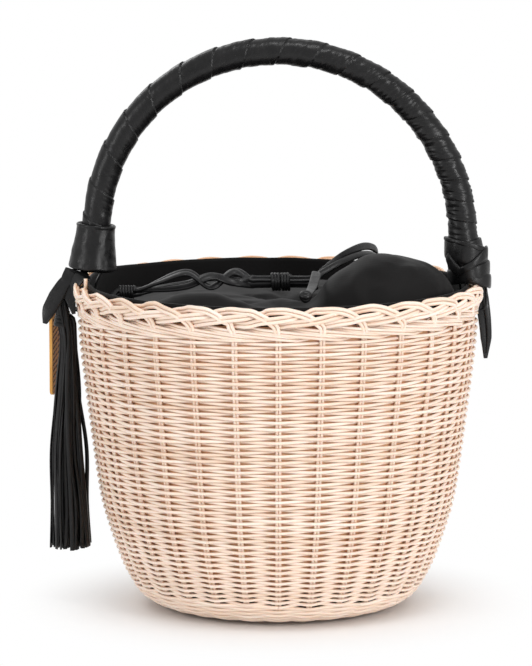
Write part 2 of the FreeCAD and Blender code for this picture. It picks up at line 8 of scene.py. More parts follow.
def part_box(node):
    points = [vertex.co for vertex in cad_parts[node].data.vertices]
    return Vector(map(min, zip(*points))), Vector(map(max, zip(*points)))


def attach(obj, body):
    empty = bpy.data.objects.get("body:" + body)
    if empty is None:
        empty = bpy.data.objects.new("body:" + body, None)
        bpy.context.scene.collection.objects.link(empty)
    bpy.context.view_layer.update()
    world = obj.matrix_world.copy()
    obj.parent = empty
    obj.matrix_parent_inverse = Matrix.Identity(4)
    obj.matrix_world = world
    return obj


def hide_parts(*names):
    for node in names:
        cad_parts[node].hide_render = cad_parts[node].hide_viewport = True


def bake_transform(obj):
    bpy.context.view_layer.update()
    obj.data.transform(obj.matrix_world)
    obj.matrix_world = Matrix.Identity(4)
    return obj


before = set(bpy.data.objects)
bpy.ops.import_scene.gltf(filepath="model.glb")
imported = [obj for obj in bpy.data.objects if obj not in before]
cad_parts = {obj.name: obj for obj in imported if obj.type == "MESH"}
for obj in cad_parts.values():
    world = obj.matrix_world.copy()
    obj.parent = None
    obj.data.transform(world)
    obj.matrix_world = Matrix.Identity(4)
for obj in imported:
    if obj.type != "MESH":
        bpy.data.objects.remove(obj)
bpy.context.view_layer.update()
rng = np.random.default_rng(29)

# Everything below is in millimetres until a mesh is built; the frame is in metres.
MM = 0.001


def box_mm(node):
    """Lowest and highest corner of a CAD node."""
    low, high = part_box(node)
    return np.array(low) / MM, np.array(high) / MM


def middle_mm(node):
    """Middle of a CAD node."""
    low, high = box_mm(node)
    return (low + high) / 2


RIM_TOP = box_mm("rim_border")[1][2]
WALE_TOP = RIM_TOP - 12.6
WALE_BOTTOM = RIM_TOP - 22.2
HEEL_TOP = 15.5
HALF_WALL = 3.1
PAIRS = 29
STEP = 2 * math.pi / PAIRS
FRONT = -math.pi / 2

# radii of the reed, the distance between the two rods of a pair, and how far the border stands out
ROD = 1.05
WEAVER = 1.1
ROD_SPACING = 2.15
BORDER_OUT = 1.9

# outer face of the wall, foot to rim: (radius, height)
OUTLINE = [
    (77, 1.4), (86.5, 3.8), (95.2, 9), (101.8, 17), (107.4, 27.5), (112.4, 40), (118, 57), (122.8, 75),
    (127.3, 104), (131.2, 135), (134.7, 163), (137.5, 190), (138.6, 224),
]

# the handle is a half circle on two splayed legs that turn about a pivot over the rim
HANDLE_RADIUS = 126.0
HANDLE_CENTRE = 257.0
SPLAY = math.radians(5.6)
LEG_END = 247.0
PIVOT_X = 128.7
PIVOT_HEIGHT = 236.0
TUBE = 9.35
# how far the leather of the left and the right leg sits to the right of the cane
LEFT_SHIFT = 1.2
RIGHT_SHIFT = 0.8


# ---- curves


def unit(v):
    """Vectors shortened or stretched to length one."""
    return v / np.maximum(np.linalg.norm(v, axis=-1, keepdims=True), 1e-9)


def run_along(points):
    """Distance from the first point to each point of a path."""
    return np.concatenate([[0], np.cumsum(np.linalg.norm(np.diff(points, axis=0), axis=1))])


def full_turn(count):
    """Angles evenly round a circle."""
    return 2 * math.pi * np.arange(count) / count


def round_points(radius, angle, height):
    """Points at a radius and an angle round the upright axis."""
    return np.stack(np.broadcast_arrays(radius * np.cos(angle), radius * np.sin(angle), height), -1)


def smooth_path(points, count, closed=False):
    """Catmull-Rom curve through the points, evenly spaced along its length."""
    p = np.array(points, float)
    if closed:
        p = np.vstack([p[-1], p, p[0], p[1]])
    else:
        p = np.vstack([2 * p[0] - p[1], p, 2 * p[-1] - p[-2]])
    t = np.linspace(0, 1, 24, endpoint=False)[:, None]
    parts = []
    for a, b, c, d in zip(p, p[1:], p[2:], p[3:]):
        part = 2 * b + (c - a) * t + (2 * a - 5 * b + 4 * c - d) * t**2 + (3 * b - a - 3 * c + d) * t**3
        parts.append(part / 2)
    if not closed:
        parts.append(p[-2:-1])
    fine = np.vstack(parts)
    if closed:
        fine = np.vstack([fine, fine[:1]])
    length = run_along(fine)
    want = np.linspace(0, length[-1], count + 1 if closed else count)
    path = np.stack([np.interp(want, length, fine[:, i]) for i in range(p.shape[1])], 1)
    return path[:-1] if closed else path


WALL_LINE = smooth_path(OUTLINE, 900)
WALL_RUN = run_along(WALL_LINE)
WALL_SLOPE = unit(np.gradient(WALL_LINE, axis=0))


def run_at(height):
    """Distance along the wall's outline at a height."""
    return np.interp(height, WALL_LINE[:, 1], WALL_RUN)


def wall_spot(run, angle, out):
    """Point of the middle of the wall at a distance up it and an angle round, moved outwards."""
    radius, height, slope_r, slope_z = [
        np.interp(run, WALL_RUN, column) for column in np.hstack([WALL_LINE, WALL_SLOPE]).T
    ]
    shift = np.asarray(out, float) - HALF_WALL
    return round_points(radius + slope_z * shift, angle, height - slope_r * shift)


def along(points, closed=False):
    """Unit direction of a path at each of its points."""
    if closed:
        return unit(np.roll(points, -1, 0) - np.roll(points, 1, 0))
    return unit(np.gradient(points, axis=0))


def radial(points):
    """Unit vectors pointing away from the bag's upright axis."""
    return unit(points * np.array([1, 1, 0]))


def ripple(points, scale, seed=0.0):
    """Smooth noise, one value a point, about -1 to 1."""
    return np.array([noise.noise(Vector((x * scale + seed, y * scale, z * scale))) for x, y, z in points])



# ---- meshes


class Strands:
    """Collects swept strands into one mesh, with the data the fibre materials read."""

    def __init__(self):
        self.points, self.faces, self.fibre, self.tint = [], [], [], []
        self.count = 0

    def sweep(self, path, up, half_a, half_b=None, sides=8, closed=False, power=1.0, tint=None, twist=0.0):
        """Sweeps a round or flattened section along a path; half_a lies along up, half_b across it."""
        path = np.asarray(path, float)
        n = len(path)
        half_a = np.broadcast_to(np.asarray(half_a, float), (n,))
        half_b = half_a if half_b is None else np.broadcast_to(np.asarray(half_b, float), (n,))
        t = along(path, closed)
        up = np.broadcast_to(np.asarray(up, float), path.shape)
        a = unit(up - (up * t).sum(1)[:, None] * t)
        b = np.cross(t, a)
        turn = np.broadcast_to(np.asarray(twist, float), (n,))[:, None]
        a, b = a * np.cos(turn) + b * np.sin(turn), b * np.cos(turn) - a * np.sin(turn)
        round_a, round_b = np.cos(full_turn(sides)), np.sin(full_turn(sides))
        across_a = half_a[:, None] * np.sign(round_a) * np.abs(round_a) ** power
        across_b = half_b[:, None] * np.sign(round_b) * np.abs(round_b) ** power
        ring = path[:, None] + across_a[..., None] * a[:, None] + across_b[..., None] * b[:, None]
        start = rng.uniform(0, 400)
        shade = rng.normal(0, 1) if tint is None else tint
        length = np.repeat((run_along(path) + start)[:, None], sides, 1)
        # the second value, the place across the strand, is what the reed material paints its shade by
        fibre = np.stack([length, across_a, across_b + start], -1)
        self.add_grid(ring, closed, fibre, shade)
        if not closed:
            self.cap(n, sides)

    def add_grid(self, grid, wrap_rows=False, fibre=None, shade=0.0):
        """Adds a skin over rows of points; each row closes on itself, and the rows may too."""
        rows, columns = grid.shape[:2]
        index = np.arange(rows * columns).reshape(rows, columns) + self.count
        down = np.roll(index, -1, 0) if wrap_rows else index[1:]
        top = index if wrap_rows else index[:-1]
        quads = np.stack([top, np.roll(top, -1, 1), np.roll(down, -1, 1), down], -1)
        self.faces.append(quads.reshape(-1, 4))
        self.points.append(grid.reshape(-1, 3))
        self.fibre.append((grid if fibre is None else fibre).reshape(-1, 3))
        self.tint.append(np.broadcast_to(np.asarray(shade, float), (rows, columns)).reshape(-1))
        self.count += rows * columns

    def cap(self, rows, sides):
        """Closes both ends of the last strand with a centre point each."""
        ring = self.points[-1].reshape(rows, sides, 3)
        fibre = self.fibre[-1].reshape(rows, sides, 3)
        first = self.count - rows * sides
        for row, flip in ((0, False), (rows - 1, True)):
            self.points.append(ring[row].mean(0)[None])
            self.fibre.append(fibre[row].mean(0)[None])
            self.tint.append(self.tint[-1][:1])
            edge = first + row * sides + np.arange(sides)
            after = np.roll(edge, -1)
            near, far = (edge, after) if flip else (after, edge)
            self.faces.append(np.stack([np.full(sides, self.count), near, far, far], 1))
            self.count += 1

    def build(self, name, material, body, slot, *nodes, flat=False):
        """Turns the strands into one named piece; a face whose last two corners agree is a triangle."""
        points = np.vstack(self.points) * MM
        quads = np.vstack(self.faces)
        fibre = np.vstack(self.fibre)
        tint = np.concatenate(self.tint)
        faces = [tuple(q[:3]) if q[3] == q[2] else tuple(q) for q in quads.tolist()]
        mesh = bpy.data.meshes.new(name)
        mesh.from_pydata(points.tolist(), [], faces)
        mesh.validate()
        mesh.attributes.new("fibre", "FLOAT_VECTOR", "POINT").data.foreach_set("vector", fibre.ravel())
        mesh.attributes.new("tint", "FLOAT", "POINT").data.foreach_set("value", tint)
        mesh.polygons.foreach_set("use_smooth", [not flat] * len(mesh.polygons))
        return place(name, mesh, material, body, slot, *nodes)


def place(name, mesh, material, body, slot, *nodes):
    """Puts a finished mesh on its CAD body, in place of the nodes it stands for."""
    piece = bpy.data.objects.new(name, mesh)
    bpy.context.scene.collection.objects.link(piece)
    mesh.materials.clear()
    mesh.materials.append(material)
    if body == "handle foot":
        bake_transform(piece)
    else:
        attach(piece, body)
    if nodes:
        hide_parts(*nodes)
    return piece


# ---- materials


def new_material(name, rough=0.5, specular=0.5):
    """A material with its node tree, its shader, and the object's own coordinates."""
    material = bpy.data.materials.new(name)
    material.use_nodes = True
    tree = material.node_tree
    shader = tree.nodes["Principled BSDF"]
    shader.inputs["Roughness"].default_value = rough
    shader.inputs["Specular IOR Level"].default_value = specular
    return material, tree, shader, tree.nodes.new("ShaderNodeTexCoord").outputs["Object"]


def add(tree, kind, *sources, **values):
    """A new node; sources are linked to its first inputs, values fill in named inputs or settings."""
    node = tree.nodes.new(kind)
    for key, value in values.items():
        if key in node.inputs:
            node.inputs[key].default_value = value
        else:
            setattr(node, key, value)
    for source, socket in zip(sources, node.inputs):
        tree.links.new(source, socket)
    return node


def ramp(tree, source, *stops):
    """Colour ramp; each stop is (place, colour)."""
    node = add(tree, "ShaderNodeValToRGB", source)
    while len(node.color_ramp.elements) < len(stops):
        node.color_ramp.elements.new(0.5)
    for element, (spot, color) in zip(node.color_ramp.elements, stops):
        element.position = spot
        element.color = (*color, 1)
    return node.outputs["Color"]


def remap(tree, value, low, high, to_low=0.0, to_high=1.0, kind="LINEAR"):
    """A value's range stretched to another one, and held at its ends."""
    ends = {"From Min": low, "From Max": high, "To Min": to_low, "To Max": to_high}
    return add(tree, "ShaderNodeMapRange", value, interpolation_type=kind, **ends).outputs["Result"]


def stretched(tree, vector, scale):
    """Coordinates multiplied by a different number along each axis."""
    node = add(tree, "ShaderNodeVectorMath", vector, operation="MULTIPLY")
    node.inputs[1].default_value = scale
    return node.outputs["Vector"]


def noise_of(tree, vector, scale=1.0, detail=4.0, rough=0.6):
    """Cloudy noise read at the coordinates."""
    return add(tree, "ShaderNodeTexNoise", vector, Scale=scale, Detail=detail, Roughness=rough).outputs["Fac"]


def mix(tree, kind, factor, first, second):
    """Two colours blended; the inputs used are the mix node's factor and its colour sockets."""
    node = add(tree, "ShaderNodeMix", data_type="RGBA", blend_type=kind)
    node.inputs[0].default_value = factor
    for value, index in ((first, 6), (second, 7)):
        tree.links.new(value, node.inputs[index])
    return node.outputs[2]


def bump(tree, shader, height, strength, distance):
    """Relief on a shader's surface."""
    node = add(tree, "ShaderNodeBump", Strength=strength, Distance=distance)
    tree.links.new(height, node.inputs["Height"])
    tree.links.new(node.outputs["Normal"], shader.inputs["Normal"])


def reed_material():
    """Peeled natural reed: pale, slightly pink, with fine lengthwise fibres, and painted shade, darker and
    more orange, on the inner side of each strand.
    """
    material, tree, shader, _ = new_material("reed", 0.42, 0.45)
    fibre = add(tree, "ShaderNodeAttribute", attribute_name="fibre").outputs["Vector"]
    tint = add(tree, "ShaderNodeAttribute", attribute_name="tint").outputs["Fac"]
    fine = noise_of(tree, stretched(tree, fibre, (0.05, 3.2, 3.2)))
    broad = noise_of(tree, stretched(tree, fibre, (0.02, 0.25, 0.25)), detail=3.0)
    pale, middle, light = (0.86, 0.67, 0.54), (0.92, 0.77, 0.66), (0.96, 0.85, 0.76)
    color = ramp(tree, broad, (0.25, pale), (0.5, middle), (0.75, light))
    streak = ramp(tree, fine, (0.3, (0.80, 0.62, 0.47)), (0.55, (1.0, 1.0, 1.0)))
    color = mix(tree, "MULTIPLY", 0.4, color, streak)
    # painted shade: the side of each strand that faces into the wall is painted darker and more orange,
    # standing in for the shade and warm bounced light deep in the weave
    across = add(tree, "ShaderNodeSeparateXYZ", fibre).outputs["Y"]
    depth = remap(tree, across, -1.1, 0.55)
    inner = ramp(tree, depth, (0.0, (0.91, 0.65, 0.45)), (1.0, (1, 1, 1)))
    color = mix(tree, "MULTIPLY", 1.0, color, inner)
    # random tone of each strand; the fixed low tint of the inner rows makes this painted shade there
    tint = remap(tree, tint, -2.2, 2.2)
    strand = ramp(tree, tint, (0.0, (0.91, 0.86, 0.80)), (0.5, (1, 1, 1)), (1.0, (1.02, 1.01, 1.0)))
    color = mix(tree, "MULTIPLY", 1.0, color, strand)
    tree.links.new(color, shader.inputs["Base Color"])
    shader.inputs["Subsurface Weight"].default_value = 0.12
    shader.inputs["Subsurface Radius"].default_value = (0.0016, 0.0008, 0.0004)
    bump(tree, shader, fine, 0.35, 0.0002)
    return material


def leather_material(name, dark=0.0035, gloss=0.27, grain=1.0):
    """Black leather: fine pebbled grain, soft creases and a satin shine that varies."""
    material, tree, shader, spot = new_material(name, specular=0.31)
    cells = add(tree, "ShaderNodeTexVoronoi", spot, Scale=1100.0 / grain, feature="DISTANCE_TO_EDGE")
    pores = ramp(tree, cells.outputs["Distance"], (0.0, (0, 0, 0)), (0.35, (1, 1, 1)))
    soft = noise_of(tree, spot, 170.0, 6.0, 0.65)
    wear = noise_of(tree, spot, 60.0, 4.0, 0.65)
    tone = (dark, dark, dark * 1.1)
    worn = (dark * 2.4, dark * 2.3, dark * 2.4)
    tree.links.new(ramp(tree, wear, (0.35, tone), (0.7, worn)), shader.inputs["Base Color"])
    tree.links.new(remap(tree, soft, 0.3, 0.7, gloss - 0.05, gloss + 0.16), shader.inputs["Roughness"])
    bump(tree, shader, mix(tree, "ADD", 0.25, soft, pores), 0.3, 0.0003)
    return material


def fabric_material():
    """Black plain-weave lining: fine threads and a faint sheen."""
    material, tree, shader, spot = new_material("lining_fabric", 0.62, 0.14)
    threads = [
        add(tree, "ShaderNodeTexWave", spot, Scale=330.0, Distortion=0.6, bands_direction=way).outputs["Fac"]
        for way in ("X", "Z")
    ]
    cloudy = noise_of(tree, spot, 30.0)
    color = ramp(tree, cloudy, (0.3, (0.0035, 0.003, 0.003)), (0.75, (0.0065, 0.006, 0.006)))
    tree.links.new(color, shader.inputs["Base Color"])
    shader.inputs["Sheen Weight"].default_value = 0.06
    shader.inputs["Sheen Roughness"].default_value = 0.4
    bump(tree, shader, mix(tree, "ADD", 1.0, *threads), 0.2, 0.0001)
    return material


def mottled_material(name, dark, light, scale, rough, relief=0.0003):
    """Two close colours in fine patches, with a little relief."""
    material, tree, shader, spot = new_material(name, rough)
    mottle = noise_of(tree, spot, scale)
    tree.links.new(ramp(tree, mottle, (0.3, dark), (0.7, light)), shader.inputs["Base Color"])
    bump(tree, shader, mottle, 0.3, relief)
    return material


def tag_edge_material():
    """Raw edge of the tag in thin upright layers, painted brighter than the face as a highlight where the
    edge catches the light.
    """
    material, tree, shader, spot = new_material("tag_edge_highlight")
    layers = noise_of(tree, stretched(tree, spot, (900, 900, 60)), 1.0, 3.0, 0.5)
    # painted highlight: the edge colour is a much brighter copy of the tag face's colour
    color = ramp(tree, layers, (0.3, (0.62, 0.27, 0.04)), (0.7, (0.86, 0.46, 0.10)))
    tree.links.new(color, shader.inputs["Base Color"])
    return material


REED = reed_material()
LEATHER = leather_material("leather")
STRIP_LEATHER = leather_material("strip_leather", dark=0.003, gloss=0.36, grain=0.8)
CORD_LEATHER = leather_material("cord_leather", dark=0.005, gloss=0.30, grain=0.6)
FABRIC = fabric_material()
TAG_EDGE_HIGHLIGHT = tag_edge_material()
TAG_FACE = mottled_material("tag_face", (0.40, 0.17, 0.035), (0.60, 0.29, 0.07), 220.0, 0.48, 0.0002)
CANE = mottled_material("cane", (0.30, 0.16, 0.06), (0.55, 0.36, 0.18), 180.0, 0.55)
FOAM = mottled_material("padding", (0.55, 0.52, 0.45), (0.75, 0.73, 0.68), 300.0, 0.9)
BOARD = mottled_material("board", (0.20, 0.17, 0.14), (0.32, 0.28, 0.24), 120.0, 0.85)


# ---- basket


def weave_wave(phase):
    """Radial swing of a weaver: rounded over the uprights, nearly straight between them."""
    return (np.cos(phase) + np.cos(3 * phase) / 9) / (1 + 1 / 9)


def make_wall():
    """One reed weaver after another, spiralling up from the heel to the wale."""
    strands = Strands()
    low = run_at(HEEL_TOP)
    high = run_at(WALE_BOTTOM + 0.8)
    rows = 85
    samples = 12
    turn = np.arange(rows * PAIRS * samples + 1) / samples / PAIRS
    share = turn / rows
    # rows lie a tenth further apart than the mean at the top, and as much closer at the foot
    uneven = 0.10
    run = low + (high - low) * (share * (1 - uneven) + share**2 * uneven)
    angle = FRONT + turn * 2 * math.pi
    sway = ripple(round_points(9, angle, turn * 7.3), 0.35)
    drift = ripple(round_points(2, angle, turn * 0.05), 0.9, 5.0)
    run = run + 0.16 * sway + 0.7 * drift * np.sin(math.pi * share)
    pressed_in = 0.12
    out = (ROD + WEAVER - pressed_in) * weave_wave(turn * math.pi * PAIRS) * (1 + 0.06 * sway)
    points = wall_spot(run, angle, out)
    lay_weavers(strands, points, PAIRS * samples, WEAVER)
    make_heel(strands)
    make_inner_rows(strands)
    strands.build("woven_wall", REED, "bag", "reed", "side_weave", "heel_weave")


def lay_weavers(strands, points, per_turn, radius):
    """Round reed along a spiral, in lengths of a few turns, each starting where the last one ends."""
    start = 0
    while start < len(points) - 1:
        stop = min(start + int(rng.uniform(1.3, 3.2) * per_turn), len(points) - 1)
        part = points[start:stop + 3]
        strands.sweep(part, radial(part), radius * rng.uniform(0.94, 1.05))
        start = stop


def make_inner_rows(strands):
    """Inner side of the rows, seen through the gaps beside the uprights, as one smooth sheet painted with the
    full inner shade of the reed and a darker tint.
    """
    run = np.linspace(run_at(3), run_at(WALE_TOP), 340)
    angle = full_turn(180)
    row_height = 2.25
    depth = -2.55 + 0.35 * np.cos(2 * math.pi * (run - run[0]) / row_height)
    grid = np.stack([wall_spot(run, a, depth) for a in angle], 1)
    fibre = np.zeros(grid.shape)
    fibre[..., 0] = angle * 120
    # painted shade: the whole sheet sits on the darkest, most orange end of the reed's inner-side ramp, and
    # its tint is held low
    fibre[..., 1] = -1.6
    strands.add_grid(grid, fibre=fibre, shade=-1.0)


def make_heel(strands):
    """Close-set rows that turn the wall under, dipping at the uprights."""
    rows = 12
    samples = 14
    low = run_at(1.6)
    high = run_at(HEEL_TOP) - 0.4
    column = np.arange(rows * PAIRS * samples + 1) / samples
    share = column / PAIRS / rows
    # the rows dip at each upright, unevenly, and stand out at every other one
    deep = 1.0 + 0.45 * np.cos(math.pi * column) * np.cos(0.37 * column + 1.0)
    dip = -1.25 * deep * (0.35 + 0.65 * np.sin(math.pi * np.minimum(1.0, share + 0.25)))
    wave = dip * (0.5 + 0.5 * np.cos(2 * math.pi * column)) ** 1.3
    run = low + 1.0 + (high - low) * share + wave
    out = 1.55 + 0.55 * np.cos(math.pi * column)
    points = wall_spot(run, FRONT + column * STEP, out)
    lay_weavers(strands, points, PAIRS * samples, WEAVER * 1.04)


def make_uprights():
    """Pairs of reed rods: up the wall, left over the rim in an arch, and down again in front."""
    strands = Strands()
    # (spacings to the left, height from the top, outwards from the middle of the wall)
    rise = [(0.0, z, 0.0) for z in np.linspace(4 - RIM_TOP, -22, 40)]
    arch = [
        (0.0, -16.5, 0.2), (-0.04, -12.8, 0.5), (-0.12, -10.0, 0.9), (-0.24, -7.2, 2.4),
        (-0.4, -4.6, 3.4), (-0.6, -2.5, 2.9), (-0.82, -1.5, 1.6), (-1.03, -1.7, -0.2),
        (-1.2, -2.6, -1.8), (-1.38, -3.8, -1.6), (-1.58, -4.9, 0.6), (-1.8, -5.9, 2.3),
        (-2.1, -7.3, 2.9), (-2.4, -8.7, 2.6), (-2.68, -10.0, 1.2), (-2.93, -11.2, -1.2),
        (-3.12, -12.4, -3.4),
    ]
    for k in range(PAIRS):
        jitter = rng.normal(0, 1, (len(arch), 3)) * np.array([0.018, 0.25, 0.16])
        steps = np.vstack([np.array(rise), np.array(arch) + jitter])
        on_wall = steps[:, 1:2] < -20
        height = RIM_TOP + steps[:, 1]
        angle = FRONT + (k + steps[:, 0]) * STEP
        rim = wall_spot(WALL_RUN[-1] - 8, angle, steps[:, 2] + BORDER_OUT)
        rim[:, 2] = height
        path = smooth_path(np.where(on_wall, wall_spot(run_at(height), angle, 0), rim), 200)
        side = unit(np.cross(along(path), radial(path)))
        tint = rng.normal(0, 1)
        swell = 1 + 0.22 * np.clip((path[:, 2] - RIM_TOP + 18) / 5, 0, 1)
        for way in (-0.5, 0.5):
            gap = ROD_SPACING * (1 + 0.05 * rng.normal()) * swell
            rod = path + side * way * gap[:, None]
            shade = tint + 0.6 * rng.normal()
            strands.sweep(rod, radial(rod), ROD * rng.uniform(0.97, 1.04) * swell, tint=shade)
        # a third, thicker rod lies behind the two along the arch
        over = path[path[:, 2] > RIM_TOP - 18]
        behind = over - radial(over) * 1.5
        strands.sweep(behind, radial(behind), ROD * 1.2, tint=tint)
    # the end of one rod stands up beside the left tie
    stub = np.array([(-131.6, -19, z) for z in np.linspace(RIM_TOP - 9, RIM_TOP + 4.6, 8)])
    strands.sweep(stub, radial(stub), ROD * 1.2, sides=10, tint=1)
    strands.build("uprights_and_border", REED, "bag", "reed", "side_stakes", "rim_border")


def make_wale():
    """Doubled rods under the border, each over two uprights and behind the third."""
    strands = Strands()
    samples = 12
    column = np.arange(PAIRS * 3 * samples) / samples
    phase = (column % 3) / 3
    # a rod slants down over two uprights and rises again behind the third
    lowest = 0.667
    rising = np.clip((phase - lowest) / 0.333, 0, 1)
    ease = rising * rising * (3 - 2 * rising)
    share = np.where(phase < lowest, phase / lowest, 1 - ease)
    height = WALE_TOP - 1.6 - (WALE_TOP - WALE_BOTTOM - 3.0) * share
    front = np.cos((phase - 0.333) * 2 * math.pi)
    out = 2.15 * np.tanh(2.4 * (front + 0.42)) / np.tanh(2.4)
    angle = FRONT + (column + 0.42) * STEP
    sway = ripple(round_points(9, angle, column * 0.8), 0.4, 3.0)
    for way in (-0.5, 0.5):
        run = run_at(height + way * 2.1 + 0.2 * sway)
        points = wall_spot(run, angle, out)
        strands.sweep(points, radial(points), 1.02, closed=True, tint=way)
    strands.build("wale", REED, "bag", "reed", "top_wale")


def make_base():
    """Round woven base: radial sticks in a star, with close rows over and under them."""
    strands = Strands()
    height = 4.6
    sticks = 17
    for k, angle in enumerate(full_turn(sticks)):
        line = np.linspace(3 if k % 2 else 9, 80, 12)
        for way in (-1.2, 1.2):
            points = np.stack([
                line * math.cos(angle) - way * math.sin(angle),
                line * math.sin(angle) + way * math.cos(angle),
                np.full(12, height),
            ], 1)
            strands.sweep(points, (0, 0, 1), 1.05)
    rows = 28
    samples = 10
    inner, outer = 13, 78
    turn = np.arange(rows * sticks * samples) / samples / sticks
    radius = inner + (outer - inner) * turn / rows
    swing = 1.9 * weave_wave(turn * math.pi * sticks)
    points = round_points(radius, turn * 2 * math.pi, height + swing)
    three_turns = sticks * samples * 3
    for start in range(0, len(points) - 1, three_turns):
        strands.sweep(points[start:start + three_turns + 2], (0, 0, 1), 1.08)
    centre = smooth_path(round_points(14, full_turn(8), height), 60, True)
    strands.sweep(centre, (0, 0, 1), 2.0, 1.1, closed=True)
    strands.build("woven_base", REED, "bag", "reed", "base_weave", "base_sticks")


# ---- cloth


def inflate(piece, voxel, pressure, cap):
    """Remeshes a closed piece and inflates it as cloth; no point moves further than cap."""
    material = piece.data.materials[0]
    remesh = piece.modifiers.new("remesh", "REMESH")
    remesh.mode = "VOXEL"
    remesh.voxel_size = voxel * MM
    remesh.use_smooth_shade = True
    apply_modifiers(piece)
    before = vertex_array(piece.data)
    cloth = piece.modifiers.new("cloth", "CLOTH")
    settings = {
        "quality": 5, "mass": 0.12, "use_pressure": True, "uniform_pressure_force": pressure,
        "tension_stiffness": 18, "compression_stiffness": 12, "shear_stiffness": 8, "bending_stiffness": 0.8,
    }
    for setting, value in settings.items():
        setattr(cloth.settings, setting, value)
    cloth.settings.effector_weights.gravity = 0
    for step in range(1, 21):
        bpy.context.scene.frame_set(step)
    apply_modifiers(piece)
    bpy.context.scene.frame_set(1)
    move = vertex_array(piece.data) - before
    size = np.linalg.norm(move, axis=1, keepdims=True)
    after = before + move * np.minimum(1, cap * MM / np.maximum(size, 1e-9))
    piece.data.vertices.foreach_set("co", after.ravel())
    fine = piece.modifiers.new("fine", "SUBSURF")
    fine.levels = 1
    fine.render_levels = 1
    apply_modifiers(piece)
    piece.data.materials.clear()
    piece.data.materials.append(material)
    piece.data.polygons.foreach_set("use_smooth", [True] * len(piece.data.polygons))


def vertex_array(mesh):
    """Places of a mesh's points, in metres."""
    spots = np.empty(len(mesh.vertices) * 3)
    mesh.vertices.foreach_get("co", spots)
    return spots.reshape(-1, 3)


def apply_modifiers(piece):
    """Bakes the piece's modifiers into its mesh."""
    graph = bpy.context.evaluated_depsgraph_get()
    baked = bpy.data.meshes.new_from_object(piece.evaluated_get(graph))
    piece.modifiers.clear()
    piece.data = baked


# ---- lining


def make_lining():
    """Fabric sleeve and floor, with soft upright folds."""
    floor = 13.0
    heights = np.concatenate([np.linspace(floor, 205, 60), np.linspace(207, RIM_TOP - 0.9, 12)])
    behind_outer_face = 7.4
    radius = wall_spot(run_at(heights), 0.0, HALF_WALL - behind_outer_face)[:, 0]
    radius = np.minimum(radius, 129.6)
    floor_radius = np.linspace(0.5, radius[0] - 1, 26)
    # the top edge turns over towards the wall
    line_r = np.concatenate([floor_radius, radius, [130.1, 131.0, 131.4]])
    line_z = np.concatenate([np.full(26, floor), heights, RIM_TOP - np.array([0.3, 0.4, 5])])
    angle = full_turn(260)
    grid = np.zeros((len(line_r), len(angle), 3))
    for i, (r, z) in enumerate(zip(line_r, line_z)):
        ring = round_points(6, angle, z * 0.012)
        fold = ripple(ring, 0.9) + 0.5 * ripple(ring, 2.3, 4.0)
        slack = 1.5 * math.sin(math.pi * min(1, max(0, (z - floor) / (RIM_TOP - floor))))
        back_left = np.clip(np.cos(angle - math.radians(140)) * 1.6 - 0.6, 0, 1)
        by_cuff = np.exp(-((angle - math.radians(160)) / 0.26) ** 2)
        lift = (1.4 * back_left + 2.6 * by_cuff + 0.3 * ripple(ring, 1.2, 8.0)) * (z > RIM_TOP - 6)
        grid[i] = round_points(r - slack * (0.6 + 0.6 * fold) * (r > 60), angle, z + lift)
    strands = Strands()
    strands.add_grid(grid)
    piece = strands.build("lining_sleeve", FABRIC, "bag", "fabric", "lining_wall", "lining_base")
    solid = piece.modifiers.new("thickness", "SOLIDIFY")
    solid.thickness = 0.6 * MM
    solid.offset = 0


def dome(x, y, centre, reach, rise, power=2.4, edge=0.75):
    """Soft round swelling over a plan position."""
    away = math.hypot((x - centre[0]) / reach[0], (y - centre[1]) / reach[1])
    if away >= 1:
        return 0.0
    return rise * (1 - away**power) ** edge


def cover_height(x, y):
    """Height of the gathered cover over the floor plan, before the cloth is inflated."""
    r = math.hypot(x, y)
    z = 204 + 3.0 * math.sin(math.pi * min(1, max(0, (129 - r) / 110)))
    right = dome(x, y, (84, -41), (48, 45), 36.5, 2.9)
    shoulder = dome(x, y, (60, -50), (36, 36), 27)
    left = dome(x, y, (-62, -84), (60, 40), 16, 2.0, 1.7)
    away = math.hypot(x - 2, (y + 18) * 1.3)
    turn = math.atan2(y + 18, x - 2)
    fold = math.sin(turn * 9 + 1.4 * math.sin(turn * 2)) + 0.5 * math.sin(turn * 17)
    gathered = 5.0 * math.exp(-away / 26) + 1.9 * fold * math.exp(-((away - 34) / 26) ** 2)
    return z + max(right, shoulder, left) + gathered


def make_cover():
    """Gathered cover with its soft puff at the front right: a thin pillow, inflated as cloth."""
    rows, columns = 44, 150
    outer = 128.4
    edge = np.linspace(1, 0, rows) ** 0.8
    angle = full_turn(columns)
    grid = np.zeros((2 * rows, columns, 3))
    for i, share in enumerate(edge):
        for j in range(columns):
            x, y = outer * share * math.cos(angle[j]), outer * share * math.sin(angle[j])
            top = cover_height(x, y)
            grid[rows + i, j] = (x, y, top)
            grid[rows - 1 - i, j] = (x, y, min(top - 5, 200))
    strands = Strands()
    strands.add_grid(grid)
    piece = strands.build("gathered_cover", FABRIC, "bag", "fabric", "lining_cover")
    inflate(piece, voxel=5.0, pressure=3.0, cap=7.0)
    crumple(piece)


def crumple(piece):
    """Adds slanting folds to the upper side of the cover."""
    spots = vertex_array(piece.data)
    mm = spots / MM
    slant = mm @ np.array([0.55, 0.35, -0.62])
    wander = ripple(mm, 0.022, 11.0) + 0.5 * ripple(mm, 0.05, 3.0)
    fold = np.sin(slant * 0.17 + 6.5 * wander) * (0.4 + 0.9 * ripple(mm, 0.018, 4.0))
    fold += 0.5 * ripple(mm, 0.045, 8.0)
    raised = np.clip((mm[:, 2] - 203) / 12, 0, 1)
    inside = np.clip((127.5 - np.hypot(mm[:, 0], mm[:, 1])) / 8, 0, 1)
    spots[:, 2] += MM * 1.3 * fold * raised * inside
    piece.data.vertices.foreach_set("co", spots.ravel())


# ---- handle


